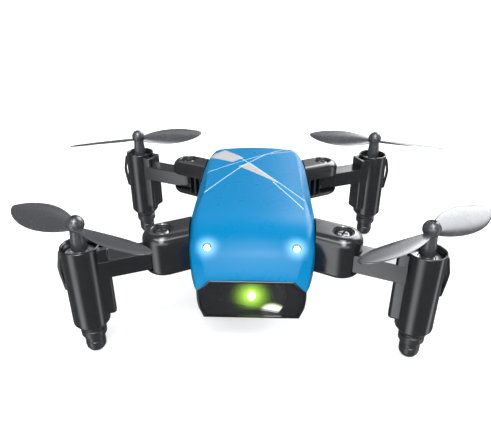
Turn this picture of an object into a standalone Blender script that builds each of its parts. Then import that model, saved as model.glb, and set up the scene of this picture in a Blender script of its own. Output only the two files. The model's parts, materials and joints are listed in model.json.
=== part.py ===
"""Mini palm drone: a toy quadcopter whose four motor arms fold against its sides.

Frame of the model: +Z is up, the nose points along -Y, and the origin is on the floor under the
middle of the overall box, propellers included. Lengths and places below are in millimetres from
the floor point under the middle of the four fold axes, which BODY_CENTRE places in that frame.
finish() turns each mesh into metres. Left and right are as seen from the front.
"""
import math

import bmesh
import bpy
from mathutils import Matrix, Vector

MM = 0.001
WELD = 0.002                          # points closer than this are one point (mm)

# ---- driving dimensions (mm) -------------------------------------------------------------------
PIVOT_X, PIVOT_Y = 20.65, 22.8        # fold axes, mirrored to the four corners
ARM_SWEEP = math.radians(23.0)        # angle between an open arm and the X axis
ARM_LENGTH = 18.3                     # fold axis to motor axis
BODY_CENTRE = (0.0, 1.9, 0.0)         # middle of the fold axes, from the model's origin
HUB_Z = 34.0                          # centre of the propeller hub's ball, the feet are at 0

BODY_FRONT, BODY_REAR = -31.3, 32.2
BODY_HALF_WIDTH = 14.85
BELLY_Z = 10.6
SEAM_Z = 17.5                         # lower edge of the canopy
LIP_Z = 21.5                          # canopy height at its front lip
CANOPY_TOP = 31.2
CANOPY_WALL = 0.9

SHOULDER_R = 4.7
SHOULDER_TWIST = math.radians(5.0)    # shoulders lean this much further back than the open arms
SHOULDER_BOTTOM, SHOULDER_TOP = 18.8, 29.2
SLOT_BOTTOM, SLOT_TOP = 20.4, 25.5    # fold slot in each shoulder
ARM_BOTTOM, ARM_TOP = 20.7, 25.2
ARM_HALF_WIDTH = 2.9
ARM_EYE_R = 2.85

POD_R, POD_BORE_R = 4.25, 3.65
POD_BOTTOM, POD_FLOOR, POD_RIM = 8.0, 10.9, 28.8
FIN_REACH = 5.8                       # wire channel's face, measured from the motor axis
FIN_BOTTOM, FIN_TOP = 10.7, 28.0
CLIP_REACH = 5.6

MOTOR_R = 3.45
PROP_R = 20.9
PROP_CHORD = 8.0
FOOT_R, FOOT_TIP_R = 3.0, 2.36
SWITCH_TRAVEL = 2.8
GAP = 0.3

LED_X, LED_Y = 10.0, -27.3            # headlights in the canopy
SCREW_X, SCREW_Y = 9.0, 22.6          # body screws, from below
DECK_BOTTOM, DECK_TOP = 18.6, 19.9
TRAY_FRONT, TRAY_REAR = BODY_FRONT + 3.0, BODY_REAR - 0.3
TRAY_FLOOR = BELLY_Z + 1.1
LAMP_Z = 15.3                         # green lamp behind the nose window

# corner name: x side, y side, resting direction of the propeller blades (degrees from +X)
CORNERS = {
    "front_left": (-1, -1, -29.0),
    "front_right": (1, -1, 36.0),
    "rear_left": (-1, 1, 21.5),
    "rear_right": (1, 1, -19.0),
}

COLOURS = {
    "canopy_blue": ((0.0, 0.28, 0.72), 0.22, 0.0),
    "gunmetal_plastic": ((0.02, 0.021, 0.024), 0.3, 0.0),
    "smoked_lens": ((0.03, 0.03, 0.034), 0.1, 0.0),
    "silver": ((0.7, 0.7, 0.72), 0.25, 1.0),
    "green_led": ((0.5, 1.0, 0.15), 0.2, 0.0),
    "white_led": ((0.95, 0.97, 1.0), 0.2, 0.0),
    "board_green": ((0.02, 0.15, 0.06), 0.5, 0.0),
    "battery_foil": ((0.6, 0.62, 0.65), 0.35, 0.6),
    "red_wire": ((0.6, 0.02, 0.02), 0.5, 0.0),
    "blade_plastic": ((0.05, 0.052, 0.056), 0.3, 0.0),
    "soft_rubber": ((0.015, 0.015, 0.016), 0.7, 0.0),
    "screw_steel": ((0.25, 0.25, 0.26), 0.35, 1.0),
}


# ---- mesh helpers ------------------------------------------------------------------------------
def loft(rings):
    """Closed solid through rings of equal point count, with flat ends."""
    bm = bmesh.new()
    loops = [[bm.verts.new(point) for point in ring] for ring in rings]
    count = len(loops[0])
    for lower, upper in zip(loops, loops[1:]):
        for i in range(count):
            j = (i + 1) % count
            bm.faces.new((lower[i], lower[j], upper[j], upper[i]))
    bm.faces.new(list(reversed(loops[0])))
    bm.faces.new(loops[-1])
    bmesh.ops.recalc_face_normals(bm, faces=bm.faces)
    return bm


def layers(*pairs):
    """Solid from (outline, z) pairs, bottom first."""
    return loft([[(x, y, z) for x, y in outline] for outline, z in pairs])


def prism(outline, z0, z1):
    return layers((outline, z0), (outline, z1))


def rectangle(x0, x1, y0, y1):
    return [(x0, y0), (x1, y0), (x1, y1), (x0, y1)]


def box(x0, x1, y0, y1, z0, z1):
    return prism(rectangle(x0, x1, y0, y1), z0, z1)


def circle(radius, sides, centre=(0.0, 0.0)):
    turn = 2.0 * math.pi / sides
    return [(centre[0] + radius * math.cos(turn * i), centre[1] + radius * math.sin(turn * i))
            for i in range(sides)]


def cylinder(radius, z0, z1, sides=20, centre=(0.0, 0.0)):
    return prism(circle(radius, sides, centre), z0, z1)


def capsule(x0, x1, radius, steps=6):
    """Outline with round ends whose centres are (x0, 0) and (x1, 0)."""
    points = []
    for centre, start in ((x1, -90.0), (x0, 90.0)):
        for i in range(steps + 1):
            angle = math.radians(start + 180.0 * i / steps)
            points.append((centre + radius * math.cos(angle), radius * math.sin(angle)))
    return points


def turned(profile, sides=20):
    """Solid of revolution about Z from (radius, z) pairs, first and last on the axis."""
    bm = bmesh.new()
    ends = [bm.verts.new((0.0, 0.0, profile[0][1])), bm.verts.new((0.0, 0.0, profile[-1][1]))]
    rings = [[bm.verts.new((x, y, z)) for x, y in circle(r, sides)] for r, z in profile[1:-1]]
    for i in range(sides):
        j = (i + 1) % sides
        bm.faces.new((ends[0], rings[0][j], rings[0][i]))
        bm.faces.new((ends[1], rings[-1][i], rings[-1][j]))
        for lower, upper in zip(rings, rings[1:]):
            bm.faces.new((lower[i], lower[j], upper[j], upper[i]))
    bmesh.ops.recalc_face_normals(bm, faces=bm.faces)
    return bm


def arc(centre_r, centre_z, radius, start, stop, steps):
    """(radius, z) points along part of a circle, for turned profiles."""
    points = []
    for i in range(steps + 1):
        angle = math.radians(start + (stop - start) * i / steps)
        points.append((centre_r + radius * math.cos(angle), centre_z + radius * math.sin(angle)))
    return points


def smooth_route(points, step):
    """Points about one step apart on a Catmull-Rom curve through the given ones."""
    knots = [Vector(p) for p in points]
    knots = [2 * knots[0] - knots[1]] + knots + [2 * knots[-1] - knots[-2]]
    route = []
    for a, b, c, d in zip(knots, knots[1:], knots[2:], knots[3:]):
        pieces = max(1, round((c - b).length / step))
        for i in range(pieces):
            t = i / pieces
            route.append(0.5 * (2 * b + (c - a) * t + (2 * a - 5 * b + 4 * c - d) * t ** 2
                                + (3 * b - a - 3 * c + d) * t ** 3))
    route.append(knots[-2])
    return route


def tube(points, radius, step=1.6, sides=6):
    """Closed round tube along a smooth route."""
    route = smooth_route(points, step)
    rings = []
    side = Vector((0.0, 1.0, 0.0))
    for i, point in enumerate(route):
        ahead = (route[min(i + 1, len(route) - 1)] - route[max(i - 1, 0)]).normalized()
        side = (side - ahead * side.dot(ahead)).normalized()
        lift = ahead.cross(side)
        turn = 2.0 * math.pi / sides
        rings.append([point + radius * (math.cos(turn * k) * side + math.sin(turn * k) * lift)
                      for k in range(sides)])
    return loft(rings)


def moved(bm, x=0.0, y=0.0, z=0.0, turn=0.0):
    bm.transform(Matrix.Translation((x, y, z)) @ Matrix.Rotation(turn, 4, "Z"))
    return bm


def mirrored_y(bm):
    bm.transform(Matrix.Diagonal((1.0, -1.0, 1.0, 1.0)))
    bmesh.ops.reverse_faces(bm, faces=bm.faces)
    return bm


def temporary(bm):
    """Object that holds a solid for a Boolean, in triangles so that every face is flat."""
    bmesh.ops.triangulate(bm, faces=bm.faces)
    mesh = bpy.data.meshes.new("tool")
    bm.to_mesh(mesh)
    bm.free()
    tool = bpy.data.objects.new("tool", mesh)
    bpy.context.scene.collection.objects.link(tool)
    return tool


def combined(base, tools, operation):
    """Boolean of a solid with others, one after another. All of them are used up."""
    work = temporary(base)
    for tool_bm in tools:
        tool = temporary(tool_bm)
        change = work.modifiers.new("combine", "BOOLEAN")
        change.operation = operation
        change.object = tool
        evaluated = work.evaluated_get(bpy.context.evaluated_depsgraph_get())
        bm = bmesh.new()
        bm.from_mesh(evaluated.to_mesh())
        bmesh.ops.remove_doubles(bm, verts=bm.verts, dist=WELD)
        bmesh.ops.dissolve_degenerate(bm, edges=bm.edges, dist=WELD)
        bmesh.ops.dissolve_limit(bm, angle_limit=math.radians(0.05), verts=bm.verts,
                                 edges=bm.edges)
        bpy.data.objects.remove(tool)
        bpy.data.objects.remove(work)
        work = temporary(bm)
    bm = bmesh.new()
    bm.from_mesh(work.data)
    bpy.data.objects.remove(work)
    return bm


def joined(base, *tools):
    return combined(base, tools, "UNION")


def cut(base, *tools):
    return combined(base, tools, "DIFFERENCE")


def material(name):
    found = bpy.data.materials.get(name)
    if found:
        return found
    colour, roughness, metallic = COLOURS[name]
    found = bpy.data.materials.new(name)
    found.use_nodes = True
    shader = found.node_tree.nodes["Principled BSDF"]
    shader.inputs["Base Color"].default_value = (*colour, 1.0)
    shader.inputs["Roughness"].default_value = roughness
    shader.inputs["Metallic"].default_value = metallic
    found.diffuse_color = (*colour, 1.0)
    return found


def finish(name, bm, finish_name, parent=None, sharp=35.0):
    """Make the named object, in metres, with its origin on its parent's."""
    bm.transform(Matrix.Scale(MM, 4))
    mesh = bpy.data.meshes.new(name)
    bm.to_mesh(mesh)
    bm.free()
    mesh.shade_smooth()
    mesh.set_sharp_from_angle(angle=math.radians(sharp))
    mesh.materials.append(material(finish_name))
    item = bpy.data.objects.new(name, mesh)
    bpy.context.scene.collection.objects.link(item)
    item.parent = parent
    if parent is None:
        item.location = Vector(BODY_CENTRE) * MM
    return item


def axis_empty(name, x, y, turn, parent=None):
    """Empty on a vertical joint axis, with its X axis turned to a heading."""
    empty = bpy.data.objects.new(name, None)
    empty.empty_display_size = 0.004
    start = Vector((0.0, 0.0, 0.0)) if parent else Vector(BODY_CENTRE)
    empty.location = (start + Vector((x, y, 0.0))) * MM
    empty.rotation_euler = (0.0, 0.0, turn)
    empty.parent = parent
    bpy.context.scene.collection.objects.link(empty)
    return empty


# ---- body outline ------------------------------------------------------------------------------
def body_half_width(y):
    """Half width of the body in plan: full amidships, narrowing to the nose and the tail."""
    front_taper, rear_start, rear_reach, tail_half_width = 1.7, 14.0, 18.5, 10.6
    if y < 0.0:
        return BODY_HALF_WIDTH - front_taper * (y / BODY_FRONT) ** 3
    if y < rear_start:
        return BODY_HALF_WIDTH
    fall = (y - rear_start) / rear_reach
    fullness = math.sqrt(1.0 - fall ** 2.4)
    return tail_half_width + (BODY_HALF_WIDTH - tail_half_width) * fullness


def body_outline(inset, front, rear, stations=9):
    """Plan outline that runs inside the body's own by an inset."""
    spots = [front + (rear - front) * 0.5 * (1.0 - math.cos(math.pi * i / (stations - 1)))
             for i in range(stations)]
    right = [(body_half_width(y) - inset, y) for y in spots]
    return right + [(-x, y) for x, y in reversed(right)]


def canopy_height(y):
    """Height of the canopy's ridge: a blunt round nose, a level back and a rounded tail."""
    nose_start, nose_reach = -17.0, 14.6
    tail_start, tail_reach, tail_drop = 27.0, 5.6, 4.6
    if y < nose_start:
        lip = math.sqrt(1.0 - ((nose_start - BODY_FRONT) / nose_reach) ** 2)
        rise = (CANOPY_TOP - LIP_Z) / (1.0 - lip)
        here = math.sqrt(1.0 - ((nose_start - y) / nose_reach) ** 2)
        return CANOPY_TOP - rise * (1.0 - here)
    if y < tail_start:
        return CANOPY_TOP
    return CANOPY_TOP - tail_drop * (1.0 - math.sqrt(1.0 - ((y - tail_start) / tail_reach) ** 2))


def canopy_section(y, wall):
    """Arch at one station, from its left foot over the ridge to its right foot."""
    crown, corner_x, corner_z, tumblehome = 0.6, 2.6, 3.7, 0.5
    half = body_half_width(y) - wall
    top = canopy_height(y) - wall
    shoulder = half - corner_x
    side = [(0.5 * shoulder, top - 0.25 * crown)]
    for i in range(5):
        angle = math.radians(90.0 * i / 4)
        height = top - crown - corner_z * (1.0 - math.cos(angle))
        side.append((shoulder + corner_x * math.sin(angle), max(height, SEAM_Z + 0.2)))
    side.append((half - tumblehome, SEAM_Z))
    return [(-x, z) for x, z in reversed(side)] + [(0.0, top)] + side


# ---- body pieces -------------------------------------------------------------------------------
def shoulder_solid(margin=0.0):
    """Shoulder about the origin, its arm pointing along +X and folding towards +Y."""
    root = -11.0
    edge = 1.1
    low, high = SHOULDER_BOTTOM - margin, SHOULDER_TOP + margin
    radius = SHOULDER_R + margin

    def outline(shrink):
        return capsule(root, 0.0, radius - shrink)

    solid = layers((outline(0.6), low), (outline(0.0), low + 0.6), (outline(0.0), high - edge),
                   (outline(0.3 * edge), high - 0.3 * edge), (outline(edge), high))
    return moved(solid, turn=-SHOULDER_TWIST)


def shoulder_cuts():
    """Fold slot, rib pockets, screw well and screw hole of one shoulder."""
    reach = 2.0 * SHOULDER_R
    slot = box(-ARM_EYE_R - GAP, reach, -ARM_HALF_WIDTH - GAP, reach, SLOT_BOTTOM, SLOT_TOP)
    pockets = [box(x, x + 1.2, 1.4, reach, SLOT_BOTTOM, SLOT_TOP) for x in (-8.4, -6.5, -4.6)]
    well = cylinder(2.35, 27.8, SHOULDER_TOP + 1.0, 18)
    hole = cylinder(1.2, 19.4, SHOULDER_TOP, 10)
    return [slot, *pockets, well, hole]


def body_side_trims(margin):
    """Blocks that take away a shoulder's root where it would be inside the canopy."""
    low_x, high_x, step_z = 12.0 - margin, 13.2 - margin, 25.4 + margin
    return [box(-low_x, low_x, -40.0, 40.0, DECK_TOP, step_z + 0.5),
            box(-high_x, high_x, -40.0, 40.0, step_z, SHOULDER_TOP + 2.0)]


def at_corner(bm, corner):
    """Move a solid from the shoulder's own frame to its corner of the body."""
    x_side, y_side, _ = CORNERS[corner]
    if hand(corner) < 0:
        mirrored_y(bm)
    return moved(bm, x_side * PIVOT_X, y_side * PIVOT_Y, 0.0, heading(corner))


def heading(corner):
    """Direction of an open arm, as an angle from +X."""
    x_side, y_side, _ = CORNERS[corner]
    return math.atan2(y_side * math.sin(ARM_SWEEP), x_side * math.cos(ARM_SWEEP))


def hand(corner):
    """+1 where the arm folds anticlockwise seen from above, -1 where it folds clockwise."""
    x_side, y_side, _ = CORNERS[corner]
    return -x_side * y_side


def make_canopy():
    steps = 15
    bm = bmesh.new()
    skins = []
    for wall in (0.0, CANOPY_WALL):
        rear = BODY_REAR - wall
        rows = []
        for i in range(steps):
            share = 0.5 * (1.0 - math.cos(math.pi * i / (steps - 1)))
            y = BODY_FRONT + (rear - BODY_FRONT) * share
            rows.append([bm.verts.new((x, y, z)) for x, z in canopy_section(y, wall)])
        for row, after in zip(rows, rows[1:]):
            for a, b, c, d in zip(row, row[1:], after[1:], after):
                bm.faces.new((a, b, c, d))
        bm.faces.new(rows[-1])
        skins.append(rows)
    outer, inner = skins
    for a, b, c, d in zip(outer[0], outer[0][1:], inner[0][1:], inner[0]):
        bm.faces.new((a, b, c, d))
    for end in (0, -1):
        for a, b, c, d in zip(outer, outer[1:], inner[1:], inner):
            bm.faces.new((a[end], b[end], c[end], d[end]))
    bm.faces.new((outer[-1][0], outer[-1][-1], inner[-1][-1], inner[-1][0]))
    bmesh.ops.recalc_face_normals(bm, faces=bm.faces)
    notches = []
    for corner in CORNERS:
        upper = at_corner(shoulder_solid(margin=0.25), corner)
        lower = moved(prism(capsule(-11.0, 0.0, SHOULDER_R + 0.25), SEAM_Z - 1.0,
                            SHOULDER_TOP - 2.0), turn=-SHOULDER_TWIST)
        notches += [cut(upper, *body_side_trims(0.25)), at_corner(lower, corner)]
    eyes = [cylinder(1.35, 20.0, 32.0, 16, (side * LED_X, LED_Y)) for side in (-1, 1)]
    finish("canopy", cut(bm, *notches, *eyes), "canopy_blue")


def make_upper_frame():
    """Deck inside the canopy, with the four slotted shoulders moulded on it."""
    deck = prism(body_outline(1.9, BODY_FRONT + 3.3, BODY_REAR - 2.2), DECK_BOTTOM, DECK_TOP)
    under = box(-13.4, 13.4, -40.0, 40.0, DECK_BOTTOM - 2.0, DECK_BOTTOM)
    shoulders = [at_corner(shoulder_solid(), corner) for corner in CORNERS]
    cuts = [at_corner(tool, corner) for corner in CORNERS for tool in shoulder_cuts()]
    posts = [cylinder(1.2, DECK_TOP - 0.3, 21.0, 8, (x * 9.0, y * 13.5))
             for x in (-1, 1) for y in (-1, 1)]
    bosses = [cylinder(1.9, DECK_TOP - 0.3, 23.4, 12, (x * SCREW_X, y * SCREW_Y))
              for x in (-1, 1) for y in (-1, 1)]
    threads = [cylinder(1.05, DECK_BOTTOM - 1.0, 22.6, 10, (x * SCREW_X, y * SCREW_Y))
               for x in (-1, 1) for y in (-1, 1)]
    windows = [box(-6.5, 6.5, y - 4.0, y + 4.0, DECK_BOTTOM - 1.0, DECK_TOP + 1.0)
               for y in (-7.5, 4.0)]
    frame = cut(joined(deck, *shoulders), *body_side_trims(0.0), under)
    frame = cut(joined(frame, *posts, *bosses), *cuts, *threads, *windows)
    finish("upper_frame", frame, "gunmetal_plastic")


def make_lower_frame():
    """Belly tray with screw bosses, vents, the switch slot and the charging port's opening."""
    front, rear = TRAY_FRONT, TRAY_REAR
    tray = layers((body_outline(2.1, front + 0.5, rear - 1.4), BELLY_Z),
                  (body_outline(1.4, front, rear - 0.8), BELLY_Z + 0.7),
                  (body_outline(0.6, front, rear), SEAM_Z - 0.25),
                  (body_outline(1.9, front + 0.3, rear - 1.3), SEAM_Z - 0.25),
                  (body_outline(1.9, front + 0.3, rear - 1.3), DECK_BOTTOM - 0.25))
    hollow = prism(body_outline(3.0, front + 1.4, rear - 2.5), TRAY_FLOOR, DECK_BOTTOM + 1.0)
    bosses = [cylinder(2.3, BELLY_Z + 0.6, DECK_BOTTOM - 0.3, 16, (x * SCREW_X, y * SCREW_Y))
              for x in (-1, 1) for y in (-1, 1)]
    holes = [cylinder(1.05, BELLY_Z - 1.0, DECK_BOTTOM + 1.0, 12, (x * SCREW_X, y * SCREW_Y))
             for x in (-1, 1) for y in (-1, 1)]
    wells = [cylinder(1.75, BELLY_Z - 1.0, BELLY_Z + 1.5, 16, (x * SCREW_X, y * SCREW_Y))
             for x in (-1, 1) for y in (-1, 1)]
    vents = [box(-7.0, 7.0, y, y + 1.3, BELLY_Z - 1.0, BELLY_Z + 2.0) for y in (-12.0, -9.0, -6.0)]
    switch_slot = box(-2.6, 2.6, 20.7, 22.9, BELLY_Z - 1.0, BELLY_Z + 2.0)
    port = box(-4.2, 4.2, rear - 4.0, rear + 1.0, 12.2, 15.6)
    frame = joined(cut(tray, hollow), *bosses)
    finish("lower_frame", cut(frame, *holes, *wells, *vents, switch_slot, port),
           "gunmetal_plastic")


def facing_front(bm, x, y, z):
    """Turn a solid made along +Z so that it points forward, and move it to its place."""
    bm.transform(Matrix.Translation((x, y, z)) @ Matrix.Rotation(math.radians(90.0), 4, "X"))
    return bm


def visor_outline(inset):
    """Front view of the nose window, as (x, z): a hexagon that widens just under the canopy."""
    step, lowest = SEAM_Z - GAP, BELLY_Z + inset
    right = [(11.3 - 0.8 * inset, lowest), (12.9 - inset, 15.6), (12.9 - inset, step - inset),
             (11.5 - inset, step), (9.3 - 0.6 * inset, LIP_Z - 1.2 - inset)]
    return right + [(-x, z) for x, z in reversed(right)]


def make_nose():
    """Smoked window, the lamp's bowl behind it and the green lamp."""
    face, wall, edge = BODY_FRONT + 0.15, 0.8, 0.35
    back = TRAY_FRONT - GAP
    shell = loft([[(x, y, z) for x, z in visor_outline(inset)]
                  for y, inset in ((face, edge), (face + edge, 0.0), (back, 0.0))])
    pocket = loft([[(x, y, z) for x, z in visor_outline(wall)] for y in (face + wall, back + 1.0)])
    finish("nose_visor", cut(shell, pocket), "smoked_lens")

    bowl_z, bowl_r = 16.6, 8.0
    bowl = turned([(0.0, 0.0), (3.0, 0.05), (bowl_r, 0.7), (bowl_r, 1.4), (bowl_r - 0.4, 1.4),
                   (5.0, 0.75), (2.0, 0.45), (0.0, 0.4)], 24)
    facing_front(bowl, 0.0, back, bowl_z)
    trims = [box(-9.0, 9.0, back - 3.0, back + 1.0, 0.0, BELLY_Z + wall + GAP),
             box(-9.0, 9.0, back - 3.0, back + 1.0, LIP_Z - 2.5, 40.0)]
    lamp_hole = facing_front(cylinder(1.5, -2.0, 3.0, 16), 0.0, back, LAMP_Z)
    finish("nose_reflector", cut(bowl, *trims, lamp_hole), "silver")

    lamp_r = 1.2
    lamp = turned([(0.0, 0.0)] + [(lamp_r, 0.0)] + arc(0.0, 0.3, lamp_r, 0.0, 75.0, 3)
                  + [(0.0, 0.3 + lamp_r)], 12)
    finish("nose_led", facing_front(lamp, 0.0, back, LAMP_Z), "green_led")


def make_headlights():
    stem_r = 1.0
    for side, name in ((-1, "left"), (1, "right")):
        top = 26.1
        lamp = turned([(0.0, DECK_TOP + GAP), (stem_r, DECK_TOP + GAP)]
                      + arc(0.0, top - stem_r, stem_r, 0.0, 75.0, 3) + [(0.0, top)], 12)
        finish("headlight_led_" + name, moved(lamp, side * LED_X, LED_Y), "white_led")


# ---- what the body holds -----------------------------------------------------------------------
def make_electronics():
    board_z, board_t = 21.2, 0.9
    board = box(-10.5, 10.5, -16.0, 16.0, board_z, board_z + board_t)
    parts = [box(-4.0, 4.0, -5.0, 3.0, board_z + 0.5, board_z + 2.0),
             box(-8.5, -4.8, 6.0, 10.5, board_z + 0.5, board_z + 1.8),
             box(4.5, 7.5, -12.0, -8.0, board_z + 0.5, board_z + 2.2),
             box(4.8, 8.8, 7.0, 12.0, board_z + 0.5, board_z + 3.0)]
    finish("main_board", joined(board, *parts), "board_green")

    cell = (-9.5, 9.5, -13.0, 15.0)
    low, high, edge = TRAY_FLOOR + GAP, DECK_BOTTOM - 0.7, 0.9
    inner = rectangle(cell[0] + edge, cell[1] - edge, cell[2] + edge, cell[3] - edge)
    outer = rectangle(*cell)
    finish("battery", layers((inner, low), (outer, low + edge), (outer, high - edge), (inner, high)),
           "battery_foil")

    lead_r = 0.45
    lead = tube([(0.0, 15.0 + GAP, 15.0), (0.0, 16.6, 15.6), (0.0, 17.2, 17.0), (0.0, 17.4, 18.0),
                 ], lead_r)
    finish("battery_lead", lead, "red_wire")

    aerial = tube([(-6.0, 16.0 + GAP, 22.0), (-6.4, 18.2, 22.6), (-4.0, 21.0, 23.4),
                   (1.0, 22.4, 24.0), (6.0, 21.0, 24.4)], 0.35)
    finish("antenna_wire", aerial, "soft_rubber")

    socket_rear, socket_low, socket_high = TRAY_REAR - 0.4, 12.5, 15.3
    shell = box(-3.9, 3.9, socket_rear - 5.6, socket_rear, socket_low, socket_high)
    mouth = box(-3.3, 3.3, socket_rear - 4.4, socket_rear + 1.0, socket_low + 0.5,
                socket_high - 0.5)
    finish("charge_socket", cut(shell, mouth), "silver")


def make_switch():
    """Slide switch in the belly: a body over the slot, and the slider that sticks out of it."""
    low = TRAY_FLOOR + 0.1
    body = box(-4.2, 4.2, 19.9, 23.7, low, low + 2.6)
    room = box(-2.6, 2.6, 20.7, 22.9, low - 1.0, low + 1.5)
    finish("power_switch_body", cut(body, room), "soft_rubber")
    width = 1.8
    start = -0.5 * (SWITCH_TRAVEL + width)
    origin = axis_empty("switch_rest", start + 0.5 * width, 21.8, 0.0)
    knob = box(-0.5 * width, 0.5 * width, -0.8, 0.8, BELLY_Z - 0.6, low + 1.2)
    finish("power_switch_slider", knob, "blade_plastic", origin)


def cross_recess(top, reach, half_width, depth):
    """Cutters for a cross recess in a screw head."""
    return [box(-reach, reach, -half_width, half_width, top - depth, top + 1.0),
            box(-half_width, half_width, -reach, reach, top - depth, top + 1.0)]


def make_screws():
    for x_side, side in ((-1, "left"), (1, "right")):
        for y_side, end in ((-1, "front"), (1, "rear")):
            head_low = BELLY_Z + 0.35
            screw = turned([(0.0, head_low), (1.0, head_low), (1.4, head_low + 0.3),
                            (1.4, head_low + 0.9), (0.8, head_low + 0.9), (0.8, 21.5),
                            (0.3, 22.2), (0.0, 22.2)], 10)
            slots = [box(-0.9, 0.9, -0.2, 0.2, head_low - 1.0, head_low + 0.4),
                     box(-0.2, 0.2, -0.9, 0.9, head_low - 1.0, head_low + 0.4)]
            screw = moved(cut(screw, *slots), x_side * SCREW_X, y_side * SCREW_Y)
            finish("body_screw_" + end + "_" + side, screw, "screw_steel")


# ---- arms, motors and propellers ---------------------------------------------------------------
def arm_solid():
    """Arm about its fold axis: eye, strut, motor pod, wire channel, guard clip."""
    eye = cylinder(ARM_EYE_R, ARM_BOTTOM, ARM_TOP, 24)
    strut = box(-0.4, ARM_LENGTH, -ARM_HALF_WIDTH, ARM_HALF_WIDTH, ARM_BOTTOM, ARM_TOP)
    pod = turned([(0.0, POD_BOTTOM), (3.5, POD_BOTTOM), (POD_R, POD_BOTTOM + 0.7), (POD_R, POD_RIM),
                  (0.0, POD_RIM)], 32)
    moved(pod, ARM_LENGTH)
    fin_face, corner = ARM_LENGTH - FIN_REACH, 0.7
    half = ARM_HALF_WIDTH - 0.1
    fin_outline = [(ARM_LENGTH, -half), (ARM_LENGTH, half), (fin_face + corner, half),
                   (fin_face, half - corner), (fin_face, corner - half),
                   (fin_face + corner, -half)]
    small = [(ARM_LENGTH, -half + 0.6), (ARM_LENGTH, half - 0.6), (fin_face + corner, half - 0.6),
             (fin_face + 0.6, half - corner), (fin_face + 0.6, corner - half),
             (fin_face + corner, -half + 0.6)]
    fin = layers((small, FIN_BOTTOM), (fin_outline, FIN_BOTTOM + 0.7), (fin_outline, FIN_TOP))

    clip_turn, clip_half = ARM_SWEEP, 0.65
    inner_r = POD_R - 0.3
    clip_outline = [(inner_r, 27.7), (4.8, 27.3), (CLIP_REACH, 23.4), (CLIP_REACH - 0.1, 21.6),
                    (4.9, 17.4), (inner_r, 17.0)]
    clip = loft([[(r, y, z) for r, z in clip_outline] for y in (-clip_half, clip_half)])
    moved(clip, ARM_LENGTH, 0.0, 0.0, clip_turn)
    window = loft([[(r, y, z) for r, z in ((POD_R + 0.15, 18.8), (4.7, 19.0), (5.0, 21.8),
                                           (5.05, 23.2), (4.65, 25.4), (POD_R + 0.15, 25.6))]
                   for y in (-1.5, 1.5)])
    moved(window, ARM_LENGTH, 0.0, 0.0, clip_turn)

    bore = moved(cylinder(POD_BORE_R, POD_FLOOR, POD_RIM + 1.0, 32), ARM_LENGTH)
    foot_hole = moved(cylinder(1.5, POD_BOTTOM - 1.0, POD_FLOOR + 1.0, 16), ARM_LENGTH)
    wire_shaft = box(fin_face + 0.9, ARM_LENGTH - 3.9, -1.2, 1.2, FIN_BOTTOM + 1.2, FIN_TOP + 1.0)
    wire_gate = box(fin_face + 1.2, ARM_LENGTH - 2.5, -0.9, 0.9, FIN_BOTTOM + 1.2,
                    FIN_BOTTOM + 3.4)
    underside = box(3.7, fin_face + 1.2, -1.4, 1.4, ARM_BOTTOM - 1.0, ARM_BOTTOM + 2.4)
    pin_hole = cylinder(1.3, ARM_BOTTOM - 1.0, ARM_TOP + 1.0, 16)
    arm = joined(eye, strut, pod, fin, clip)
    return cut(arm, window, bore, foot_hole, wire_shaft, wire_gate, underside, pin_hole)


def foot_solid():
    """Rubber foot plugged into the pod's floor: stem, collar and round tip."""
    collar_low, collar_top = 5.0, POD_BOTTOM - 0.15
    tip = arc(0.0, FOOT_TIP_R, FOOT_TIP_R, -90.0, 0.0, 3)[1:]
    profile = ([(0.0, 0.0)] + tip + [(FOOT_TIP_R, collar_low - 0.4), (FOOT_R - 0.3, collar_low),
               (FOOT_R, collar_low + 0.3), (FOOT_R, collar_top), (1.2, collar_top),
               (1.2, POD_FLOOR - 0.4), (0.0, POD_FLOOR - 0.4)])
    return turned(profile, 16)


def motor_can_solid():
    low, high = 12.4, 27.2
    return turned([(0.0, low), (MOTOR_R, low), (MOTOR_R, high - 0.3), (MOTOR_R - 0.3, high),
                   (1.4, high), (1.4, high + 0.5), (0.75, high + 0.5), (0.75, high - 6.0),
                   (0.0, high - 6.0)], 16)


def motor_endcap_solid():
    low, high = POD_FLOOR + 0.2, 12.2
    return turned([(0.0, low), (2.2, low), (2.2, low + 0.4), (MOTOR_R, low + 0.4), (MOTOR_R, high),
                   (0.0, high)], 16)


def motor_lead_solid():
    """Pair of motor wires: up the pod's channel and along the underside of the arm."""
    shaft_x = ARM_LENGTH - FIN_REACH + 1.45
    return tube([(14.3, 0.0, 13.2), (shaft_x, 0.0, 14.2), (shaft_x, 0.0, 20.2),
                 (12.6, 0.0, 21.9), (10.0, 0.0, 22.1), (4.4, 0.0, 22.1)], 0.4)


def rotor_shaft_solid():
    return cylinder(0.45, 22.0, HUB_Z + 1.4, 8)


def blade_chord(share):
    """Chord at a share of the radius: narrow at the hub, full outboard, with a round tip."""
    return PROP_CHORD * math.sin(math.pi * share ** 1.15) ** 0.55


def blade_solid(turn):
    """One twisted blade from inside the hub to its tip."""
    middle_z = HUB_Z - 1.0
    rings = []
    for share in (0.055, 0.13, 0.24, 0.4, 0.6, 0.78, 0.91, 0.975):
        chord = blade_chord(share)
        thick = 0.9 - 0.4 * share
        pitch = math.radians(17.0 - 9.0 * share)
        section = []
        for along, up in ((-0.5, 0.0), (-0.25, 0.42), (0.1, 0.5), (0.38, 0.36), (0.5, 0.0),
                          (0.38, -0.3), (0.1, -0.42), (-0.25, -0.38)):
            y, z = along * chord, up * thick
            section.append((share * PROP_R, y * math.cos(pitch) - z * math.sin(pitch),
                            middle_z + y * math.sin(pitch) + z * math.cos(pitch)))
        rings.append(section)
    return moved(loft(rings), turn=turn)


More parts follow.
